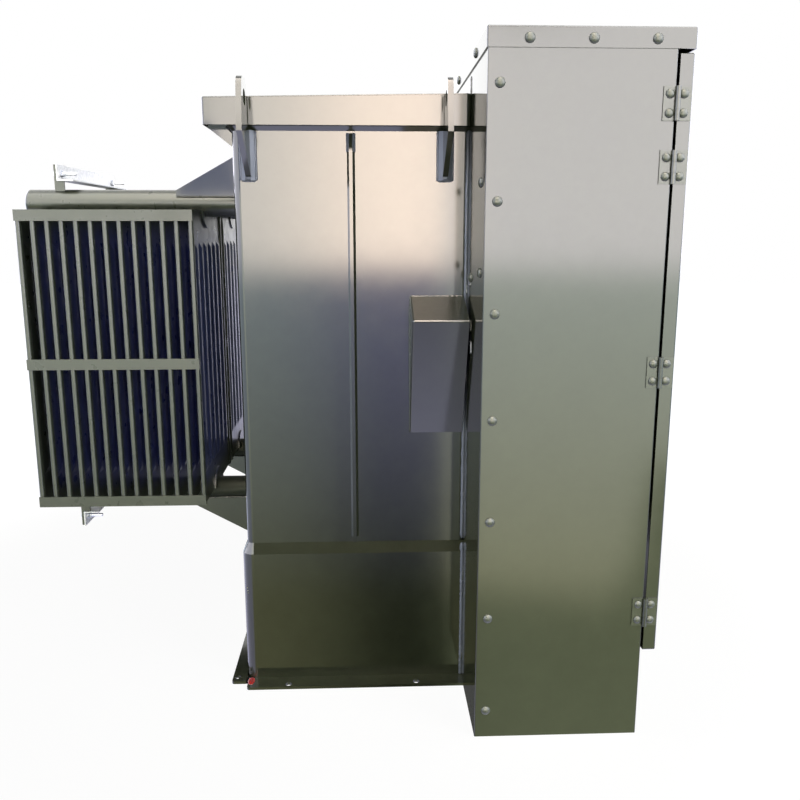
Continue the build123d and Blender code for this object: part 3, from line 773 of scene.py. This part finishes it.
def bushing_nuts():
    """Four nuts on each bushing's flange."""
    nut = hex_block(flange_nut_radius, flange_nut_height, 0)
    hv_low, hv_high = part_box("hv_bushings")
    lv_low, lv_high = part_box("lv_bushings")
    flanges = [(hv_low.x + hv_flange_radius + column * hv_pitch, z, hv_flange_radius,
                hv_flange_thickness)
               for z in (hv_low.z + hv_flange_radius, hv_high.z - hv_flange_radius)
               for column in range(hv_column_count)]
    flanges += [(lv_low.x + lv_flange_radius + column * lv_pitch, (lv_low.z + lv_high.z) / 2,
                 lv_flange_radius, lv_flange_thickness) for column in range(lv_column_count)]
    spots = []
    for x, z, radius, thickness in flanges:
        for place in range(flange_nut_count):
            turn = 2 * pi * (place + 0.5) / flange_nut_count
            reach = radius - flange_nut_inset
            spots.append((Vector((x + reach * cos(turn), plate_low.y - thickness,
                                  z + reach * sin(turn))), FRONT))
    finish_piece(place_copies("bushing_nuts", nut, spots), zinc, "housing")
    drop_master(nut)


def gauge_dials():
    """A rim, a white dial and a plain scale with its pointer on each gauge."""
    spots = []
    for node in ("oil_level_gauge", "oil_thermometer"):
        low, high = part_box(node)
        radius = (high.x - low.x) / 2
        spots.append((Vector(((low.x + high.x) / 2, low.y, (low.z + high.z) / 2)), FRONT))
    face_radius = radius - dial_rim_width
    face_height = dial_face_share * dial_rim_height

    rim = settle(basic(mesh.primitive_cylinder_add, vertices=dial_sides,
                       radius=radius, depth=dial_rim_height,
                       location=(0, 0, dial_rim_height / 2)))
    pick_top(rim)
    mesh.inset(thickness=dial_rim_width)
    mesh.extrude_region_move(
        TRANSFORM_OT_translate={"value": (0, 0, face_height / 2 - dial_rim_height)})
    only(rim)
    finish_piece(place_copies("gauge_rims", rim, spots), brass, "housing")

    face = settle(basic(mesh.primitive_cylinder_add, vertices=dial_sides,
                        radius=face_radius, depth=face_height,
                        location=(0, 0, face_height / 2)))
    pick_top(face)
    mesh.bevel(offset=dial_bevel_share * face_height, segments=2, affect="EDGES")
    only(face)
    finish_piece(place_copies("gauge_dials", face, spots), dial_enamel(), "housing")

    marks = []
    for place in range(scale_mark_count):
        turn = scale_sweep * (place / (scale_mark_count - 1) - 0.5)
        marks.append(dial_bar(scale_mark_length, scale_mark_width, scale_mark_start, turn, 1))
    marks.append(dial_bar(pointer_length, pointer_width, 0, pointer_turn,
                          pointer_tip_share))
    scale = join("gauge_scale_master", marks)
    scale.location.z = face_height
    settle(scale)
    finish_piece(place_copies("gauge_scales", scale, spots), scale_print(), "housing")
    for master in (rim, face, scale):
        drop_master(master)


def dial_bar(length, width, start, turn, tip_share):
    """A thin bar that runs out from a dial's centre, narrowed at its tip to tip_share."""
    bar = settle(basic(mesh.primitive_cube_add, size=1,
                       location=(0, start + length / 2, scale_height / 2),
                       scale=(width, length, scale_height)))
    pick_faces(bar, lambda face: face.normal.y > facing_share)
    bpy.ops.transform.resize(value=(tip_share, 1, 1))
    pick_top(bar)
    mesh.bevel(offset=mark_bevel_share * scale_height, segments=1, affect="EDGES")
    only(bar)
    bar.rotation_euler.z = -turn
    return settle(bar)


def handle_screws():
    """Four domed screws at the corners of the handle's plate."""
    low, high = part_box("door_handle")
    middle = Vector(((low.x + high.x) / 2, high.y - handle_plate_thickness,
                     high.z - handle_plate_height / 2))
    head = domed_head(handle_screw_radius, handle_screw_height)
    spots = [(middle + Vector((across * (handle_plate_width / 2 - handle_screw_inset), 0,
                               up * (handle_plate_height / 2 - handle_screw_inset))), FRONT)
             for across in (-1, 1) for up in (-1, 1)]
    finish_piece(place_copies("handle_screws", head, spots), zinc, "right_door")
    drop_master(head)


# Welds

def lumps():
    """The uneven height of a hand-laid weld, with ripples a few millimetres apart."""
    texture = bpy.data.textures.new("weld_lumps", type="CLOUDS")
    texture.noise_scale = 2 * weld_ripple
    return texture


weld_texture = lumps()


def make_lumpy(bead, height):
    only(bead)
    swell = bead.modifiers.new("lumps", "DISPLACE")
    swell.texture = weld_texture
    swell.texture_coords = "GLOBAL"
    swell.strength = height
    bpy.ops.object.modifier_apply(modifier=swell.name)
    return settle(bead)


def weld_run(start, end, width):
    """A straight, lumpy bead that thins out at both ends."""
    run = end - start
    cuts = max(2, int(run.length / weld_ripple))
    bead = basic(mesh.primitive_cylinder_add, vertices=bead_sides,
                 radius=width / 2, depth=run.length)
    half = run.length / 2
    pick_edges(bead, lambda a, b: abs(a.z - b.z) > half)
    mesh.subdivide(number_cuts=cuts)
    pick_faces(bead, lambda face: abs(face.normal.z) > facing_share)
    bpy.ops.transform.resize(value=(bead_end_share, bead_end_share, 1))
    only(bead)
    bead.matrix_world = stand((start + end) / 2, run)
    return make_lumpy(bead, bead_lump_share * width)


def upright_run(x, y, z0, z1, width):
    return weld_run(Vector((x, y, z0)), Vector((x, y, z1)), width)


def upright_fillet(wall_x, edge_y, way, across, out, z0, z1):
    """A wedge of weld in the corner between a left wall and the plate that stands on it.

    It lies on the wall for across, towards way along Y, and on the plate for out.
    """
    wedge = settle(basic(mesh.primitive_cube_add, size=1,
                         scale=(out, across, z1 - z0),
                         location=(wall_x - out / 2, edge_y + way * across / 2,
                                   (z0 + z1) / 2)))
    outwards = Vector((-across, way * out, 0)).normalized()
    pick_faces(wedge, lambda face: True)
    mesh.bisect(plane_co=(wall_x - out, edge_y, z0), plane_no=outwards,
                        clear_outer=True, use_fill=True)
    pick_edges(wedge, lambda a, b: abs(a.z - b.z) > (z1 - z0) / 2)
    mesh.subdivide(number_cuts=int((z1 - z0) / weld_ripple))
    only(wedge)
    return make_lumpy(wedge, fillet_lump_share * across)


def weld_ring(centre, facing, radius, width):
    """A lumpy bead round a pipe."""
    ring = basic(mesh.primitive_torus_add, major_radius=radius,
                 minor_radius=width / 2, major_segments=ring_segments,
                 minor_segments=bead_sides)
    ring.matrix_world = stand(centre, facing)
    return make_lumpy(ring, bead_lump_share * width)


def mirror_piece(piece):
    """A copy of a left-hand piece on the right, still facing outwards."""
    copy = duplicate(piece)
    copy.scale.x = -1
    settle(copy)
    pick_faces(copy, lambda face: True)
    mesh.normals_make_consistent(inside=False)
    only(copy)
    return copy


def weld_piece(name, beads, material):
    """One piece of these left-hand beads and their copies on the right."""
    piece = join(name, beads + [mirror_piece(bead) for bead in beads])
    finish_piece(piece, material, "housing", angle=weld_smooth_angle)


def lug_welds():
    """Fillets up both sides of each lug's root, and beads round the pads."""
    wall, face = tank_low.x, pads_low.x
    pad_foot, pad_top = pads_low.z, pads_high.z
    half_lug = lug_thickness / 2
    half_pad = (pads_high.y - lugs_high.y) + half_lug
    beads = []
    for y in (lugs_low.y + half_lug, lugs_high.y - half_lug):
        for way in (-1, 1):
            edge = y + way * (half_pad + pad_weld_width / 4)
            beads.append(upright_run(wall - pad_weld_width / 4, edge, pad_foot, pad_top,
                                     pad_weld_width))
            beads.append(upright_fillet(face, y + way * half_lug, way, lug_root_leg,
                                        lug_root_out, pad_foot + MM, pad_top))
        beads.append(weld_run(Vector((face, y - half_lug, lugs_low.z - lug_foot_weld / 2)),
                              Vector((face, y + half_lug, lugs_low.z - lug_foot_weld / 2)),
                              lug_foot_weld))
        beads.append(weld_run(Vector((wall, y - half_pad, pad_foot)),
                              Vector((wall, y + half_pad, pad_foot)), pad_weld_width))
    # These beads and the pads take the enamel whose pale bluish grey is a painted reflection
    weld_piece("lug_welds", beads, painted_reflection_enamel)


def side_welds():
    """Welds beside the stiffener, round the wedge box and where the tank meets the plate."""
    wall = tank_low.x
    plate_rear = plate_high.y
    beads = []
    for way, y in ((-1, stiffener_low.y), (1, stiffener_high.y)):
        beads.append(upright_fillet(wall, y, way, stiffener_weld_leg, stiffener_weld_leg,
                                    stiffener_low.z, stiffener_high.z - stiffener_cut_height))
    beads.append(upright_run(wall, side_box_high.y, side_box_low.z, side_box_high.z,
                             seam_weld_width))
    beads.append(weld_run(Vector((wall, side_box_low.y, side_box_high.z)),
                          Vector((wall, side_box_high.y, side_box_high.z)), seam_weld_width))
    for low, high in corner_stitches:
        corner_x = skirt_low.x if high < skirt_high.z else wall
        beads.append(upright_run(corner_x, plate_rear, low, high, stitch_weld_width))
    for start, end in plate_stitches:
        beads.append(weld_run(Vector((-start[0], plate_rear, start[1])),
                              Vector((-end[0], plate_rear, end[1])), seam_weld_width))
    stitch_x, stitch_low, stitch_high = cover_corner_stitch
    beads.append(upright_run(-stitch_x, plate_rear, stitch_low, stitch_high, seam_weld_width))
    weld_piece("side_welds", beads, body_enamel)


def painted_reflection_welds():
    """Fillets beside the stiffener's slanted top, and the bead from the tank to the plate, in
    enamel with a painted slate reflection.
    """
    wall = tank_low.x
    beads = [upright_fillet(wall, y, way, stiffener_cut_leg, stiffener_weld_leg,
                            stiffener_high.z - stiffener_cut_height, stiffener_high.z)
             for way, y in ((-1, stiffener_low.y), (1, stiffener_high.y))]
    y = plate_high.y + corner_weld_inset
    for x, low, high in ((wall, skirt_high.z, cover_low.z), (skirt_low.x, 0, skirt_high.z)):
        beads.append(upright_run(x + corner_weld_inset, y, low + corner_weld_rise,
                                 high - corner_weld_rise, corner_weld_width))
    weld_piece("painted_reflection_welds", beads, painted_reflection_enamel)


def header_welds():
    """Rings where the headers enter the tank, and beads along the gussets beside them."""
    radius = (top_header_high.x - top_header_low.x) / 2
    rear = tank_high.y
    beads = []
    for low, high, up in ((top_header_low, top_header_high, 1),
                          (bottom_header_low, bottom_header_high, -1)):
        height = (low.z + high.z) / 2
        beads.append(weld_ring(Vector((-header_x, rear, height)), BACK, radius,
                               seam_weld_width))
        joint = height + up * (gusset_rise - gusset_weld_width / 2)
        for side in (-1, 1):
            x = -header_x + side * (radius - gusset_weld_width / 2)
            beads.append(weld_run(Vector((x, rear, joint)),
                                  Vector((x, rear + gusset_length, joint)),
                                  gusset_weld_width))
            beads.append(upright_run(x, rear, height + up * gusset_rise,
                                     height + up * (gusset_rise + gusset_height_at_wall),
                                     gusset_weld_width))
    weld_piece("header_welds", beads, radiator_enamel)


# Paint marks

def paint_dab():
    """A red dab of marking paint on the rear end of the left base strip."""
    dab = basic(mesh.primitive_uv_sphere_add, segments=head_sides,
                ring_count=dab_rings, radius=1)
    dab.scale = dab_half_size
    dab.location = dab_centre
    settle(dab)
    pick_faces(dab, lambda face: True)
    mesh.bisect(plane_co=dab_centre, plane_no=(0, 0, 1), clear_inner=True,
                        use_fill=True)
    only(dab)
    dab.name = dab.data.name = "paint_dab"
    make_lumpy(dab, dab_half_size[2] / 2)
    finish_piece(dab, marking_paint(), "housing")


def paint_chips():
    """Small chips on the skirt's rear left corner, where pale primer shows."""
    chip = domed_head(chip_radius, chip_height)
    make_lumpy(chip, chip_height)
    spots = [(Vector((-x, y, z)), chip_facing) for x, y, z in chip_places]
    finish_piece(place_copies("paint_chips", chip, spots), primer(), "housing")
    drop_master(chip)


# Studio

def studio_camera():
    """A camera at the photograph's place and angle."""
    data = bpy.data.cameras.new("photo_camera")
    data.sensor_width = camera_sensor
    data.lens = camera_lens
    camera = bpy.data.objects.new("photo_camera", data)
    bpy.context.scene.collection.objects.link(camera)
    camera.location = camera_place
    camera.rotation_euler = Vector(camera_ahead).to_track_quat("-Z", "Y").to_euler()
    bpy.context.scene.camera = camera


def studio_floor():
    """A plain pale floor that runs out into the white of the background.

    The floor shines a little by itself, so that the shadow on it stays faint.
    """
    floor = basic(mesh.primitive_circle_add, vertices=floor_sides,
                  radius=floor_radius, fill_type="NGON")
    floor.name = "studio_floor"
    floor.visible_glossy = False
    material = bpy.data.materials.new("pale_floor")
    tree = empty_tree(material)
    place = add(tree, "ShaderNodeTexCoord").outputs["Object"]
    away = add(tree, "ShaderNodeVectorMath", {0: place}, operation="LENGTH")
    fade = add(tree, "ShaderNodeMapRange", {"Value": away.outputs["Value"],
                                            "From Min": floor_fade_start,
                                            "From Max": floor_fade_end,
                                            "To Min": floor_own_light},
               interpolation_type="SMOOTHSTEP")
    seen = add(tree, "ShaderNodeLightPath").outputs["Is Camera Ray"]
    share = add(tree, "ShaderNodeMath", {0: fade.outputs[0], 1: seen}, operation="MULTIPLY")
    matt = add(tree, "ShaderNodeBsdfDiffuse", {"Color": linear("#B9B9B6")})
    white = add(tree, "ShaderNodeEmission", {"Strength": floor_brightness})
    mix = add(tree, "ShaderNodeMixShader", {0: share.outputs[0], 1: matt.outputs[0],
                                            2: white.outputs[0]})
    add(tree, "ShaderNodeOutputMaterial", {"Surface": mix.outputs[0]})
    floor.data.materials.append(material)


def stage_sheet(name, centre, size, facing, colour):
    """A thin plain sheet of one brightness, as part of the studio."""
    sheet = basic(mesh.primitive_plane_add, size=1)
    sheet.name = name
    sheet.scale = (size[0], size[1], 1)
    sheet.rotation_euler = facing.to_track_quat("Z", "Y").to_euler()
    sheet.location = centre
    material = bpy.data.materials.new(name)
    tree = empty_tree(material)
    glow = add(tree, "ShaderNodeEmission", {"Color": list(colour) + [1]})
    add(tree, "ShaderNodeOutputMaterial", {"Surface": glow.outputs[0]})
    sheet.data.materials.append(material)
    return sheet


def stage_cards():
    """A dark sheet under the base strips' holes, as painted shade in them, and three dim
    cards.

    The cards are only seen in the enamel. The gussets by the top header mirror the first,
    the skirt's sloped edge the second, and the gap by the door the third.
    """
    # The dark sheet is painted shade: it darkens the floor seen through the holes
    stage_sheet("hole_shade", (0, (side_strip_low.y + strip_high.y) / 2, sheet_rise),
                (strip_high.x - strip_low.x, strip_high.y - side_strip_low.y - sheet_margin),
                Vector((0, 0, 1)), hole_shade_tone)
    for name, centre, size, colour in (
            ("top_gusset_card", top_card_centre, top_card_size, top_card_colour),
            ("skirt_card", band_card_centre, band_card_size, band_card_colour),
            ("door_gap_card", gap_card_centre, gap_card_size, gap_card_colour)):
        card = stage_sheet(name, centre, size, RIGHT, colour)
        card.visible_camera = False
        card.visible_diffuse = False


def soft_light(name, spot, aim, size, power):
    """A large square softbox."""
    data = bpy.data.lights.new(name, "AREA")
    data.size = size
    data.energy = power
    light = bpy.data.objects.new(name, data)
    bpy.context.scene.collection.objects.link(light)
    light.location = spot
    light.rotation_euler = (Vector(aim) - Vector(spot)).to_track_quat("-Z", "Y").to_euler()
    light.visible_camera = False
    return light


def studio_world():
    """Even white light. What the enamel mirrors is a bright room above a dim one.

    Its backdrops follow each other from the front (-Y) to the rear (+Y). The half of the room
    at +X is dim.
    """
    world = bpy.data.worlds.new("studio")
    bpy.context.scene.world = world
    tree = empty_tree(world)
    way = add(tree, "ShaderNodeTexCoord").outputs["Generated"]
    parts = add(tree, "ShaderNodeSeparateXYZ", {0: way})
    rise = add(tree, "ShaderNodeMapRange", {"Value": parts.outputs["Z"], "From Min": -1,
                                            "From Max": 1})

    # How high the dark ground reaches: it climbs towards the front, beside the cabinet
    along = add(tree, "ShaderNodeMapRange", {"Value": parts.outputs["Y"],
                                             "From Min": ground_climb_start,
                                             "From Max": ground_climb_end})
    climb = add(tree, "ShaderNodeMath", {0: along.outputs[0], 1: ground_climb_power},
                operation="POWER")
    edge = add(tree, "ShaderNodeMath", {0: climb.outputs[0], 1: ground_climb,
                                        2: ground_edge}, operation="MULTIPLY_ADD")
    above = add(tree, "ShaderNodeMath", {0: parts.outputs["Z"], 1: edge.outputs[0]},
                operation="SUBTRACT")
    clear = add(tree, "ShaderNodeMapRange", {"Value": above.outputs[0],
                                             "From Min": -ground_blur,
                                             "From Max": ground_blur})

    seen = None
    for name, start, end, axis, foot, lower, upper in backdrops:
        tones = zip(backdrop_heights, (floor_tone, foot, foot, lower, upper))
        ramp = add(tree, "ShaderNodeValToRGB", {"Fac": rise.outputs[0]}, label=name,
                   stops=[((height + 1) / 2, [level / mirror_strength for level in tone]
                           + [1]) for height, tone in tones])
        if seen is None:
            seen = ramp.outputs["Color"]
            continue
        if name == "ground":
            share = clear.outputs[0]
            first, second = ramp.outputs["Color"], seen
        else:
            blend = add(tree, "ShaderNodeMapRange", {"Value": parts.outputs[axis],
                                                     "From Min": start, "From Max": end},
                        interpolation_type="SMOOTHSTEP")
            share = blend.outputs[0]
            first, second = seen, ramp.outputs["Color"]
        seen = add(tree, "ShaderNodeMix", {"Factor": share, 6: first, 7: second},
                   data_type="RGBA").outputs[2]
    room = add(tree, "ShaderNodeBackground", {"Color": seen, "Strength": mirror_strength})
    even = add(tree, "ShaderNodeBackground", {"Color": linear("#FFFFFF"),
                                              "Strength": even_light})
    white = add(tree, "ShaderNodeBackground", {"Color": linear("#FFFFFF"), "Strength": 1})
    path = add(tree, "ShaderNodeLightPath")
    lit = add(tree, "ShaderNodeMixShader", {0: path.outputs["Is Glossy Ray"],
                                            1: even.outputs[0], 2: room.outputs[0]})
    shown = add(tree, "ShaderNodeMixShader", {0: path.outputs["Is Camera Ray"],
                                              1: lit.outputs[0], 2: white.outputs[0]})
    add(tree, "ShaderNodeOutputWorld", {"Surface": shown.outputs[0]})


studio_camera()
studio_floor()
stage_cards()
studio_world()
soft_light("key_softbox", key_place, key_aim, key_size, key_power)
bpy.context.scene.view_settings.view_transform = "Standard"

paint_cad_nodes()
cabinet_bolts()
hinge_screws()
tie_bolts()
bushing_nuts()
gauge_dials()
handle_screws()
lug_welds()
side_welds()
painted_reflection_welds()
header_welds()
paint_dab()
paint_chips()
